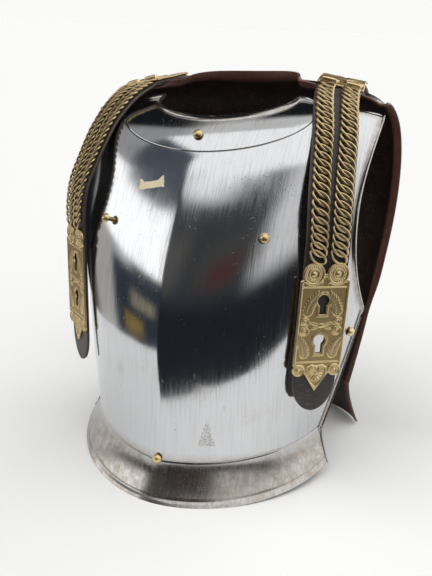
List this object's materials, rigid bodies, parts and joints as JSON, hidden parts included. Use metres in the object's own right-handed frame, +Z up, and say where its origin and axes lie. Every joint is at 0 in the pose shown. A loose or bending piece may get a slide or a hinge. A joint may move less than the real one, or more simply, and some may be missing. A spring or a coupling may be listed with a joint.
{
  "type": "cuirass",
  "caption": "Steel breastplate and backplate joined over the shoulders by leather straps with curb chains and keyholed brass plates.",
  "frame": {"origin": "middle of the foot of the whole cuirass, on the floor that its two rims stand on", "axes": "+X to the wearer's left, -Y the way the breastplate faces, +Z up"},
  "size_m": [0.3462, 0.3296, 0.4143],
  "materials": {
    "polished_steel": "polished, worn and lightly pitted",
    "browned_steel": "polished outside, browned inside and along its rolled edges",
    "brass": "aged, dark in the hollows",
    "chain_brass": "aged, dull",
    "leather": "worn, dark brown to black"
  },
  "bodies": {
    "root": {"breastplate": "polished_steel", "backplate": "browned_steel", "strap_left": "leather", "strap_right": "leather", "front_plate_left": "brass", "front_plate_right": "brass", "rear_plate_left": "brass", "rear_plate_right": "brass", "inner_bar_left": "brass", "inner_bar_right": "brass", "outer_bar_left": "brass", "outer_bar_right": "brass", "inner_rivet_left": "brass", "inner_rivet_right": "brass", "outer_rivet_left": "brass", "outer_rivet_right": "brass", "inner_chain_left": "chain_brass", "inner_chain_right": "chain_brass", "outer_chain_left": "chain_brass", "outer_chain_right": "chain_brass", "neck_stud": "brass", "chest_stud_left": "brass", "chest_stud_right": "brass", "waist_stud": "brass", "side_stud_left": "brass", "side_stud_right": "brass"}
  },
  "joints": []
}
